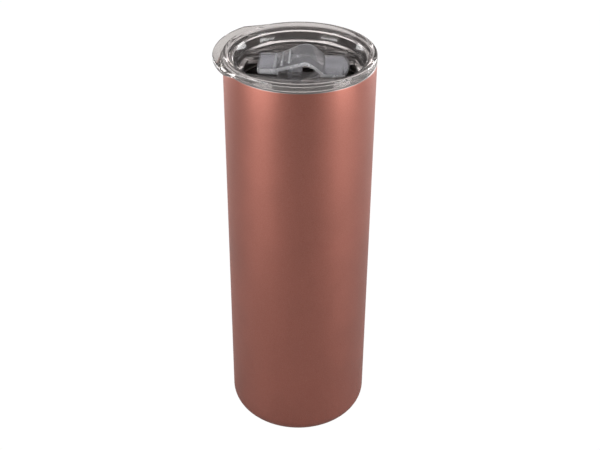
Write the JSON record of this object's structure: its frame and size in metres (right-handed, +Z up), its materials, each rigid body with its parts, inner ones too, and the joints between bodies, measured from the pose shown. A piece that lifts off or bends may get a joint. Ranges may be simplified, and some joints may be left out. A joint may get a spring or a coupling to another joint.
{
  "type": "insulated tumbler with lid",
  "caption": "Straight double-walled steel tumbler with a coated shell and a clear push-in lid that has a sliding closure and a lifting tab.",
  "frame": {"origin": "on the tumbler's axis, in the plane of the flat base cover that it stands on", "axes": "+Z up along the tumbler's axis, +X towards the lid's drink opening, the closure slides along X, the lifting tab is near -X"},
  "size_m": [0.0776, 0.073, 0.2105],
  "materials": {
    "copper_coat": "satin metallic copper rose coating with fine grain",
    "bare_steel": "satin turned stainless steel",
    "foil": "bright copper foil",
    "solder": "dull sealing bead",
    "getter_pill": "pressed grey powder",
    "clear_lid": "polished clear plastic with a light smoke tint",
    "clear_slider": "clear moulded plastic, slightly frosted",
    "silicone": "translucent matt silicone"
  },
  "bodies": {
    "tumbler": {"outer_shell": "copper_coat", "outer_base": "bare_steel", "vacuum_seal_bead": "solder", "base_cover": "bare_steel", "inner_liner": "bare_steel", "liner_base": "bare_steel", "foil_wrap": "foil", "getter": "getter_pill", "getter_clip": "bare_steel"},
    "lid_seal": {"lid_gasket": "silicone"},
    "lid": {"lid_body": "clear_lid"},
    "closure": {"slider": "clear_slider", "drink_seal_pad": "silicone", "vent_seal_pad": "silicone"}
  },
  "joints": [
    {"name": "lid_pull", "type": "slide", "parent": "tumbler", "child": "lid_seal", "axis": [0, 0, 1], "range_m": [0, 0.03]},
    {"name": "lid_turn", "type": "hinge", "parent": "lid_seal", "child": "lid", "pos_m": [0, 0, 0.2065], "axis": [0, 0, 1], "continuous": true},
    {"name": "closure_slide", "type": "slide", "parent": "lid", "child": "closure", "axis": [1, 0, 0], "range_m": [-0.008, 0.005]}
  ]
}
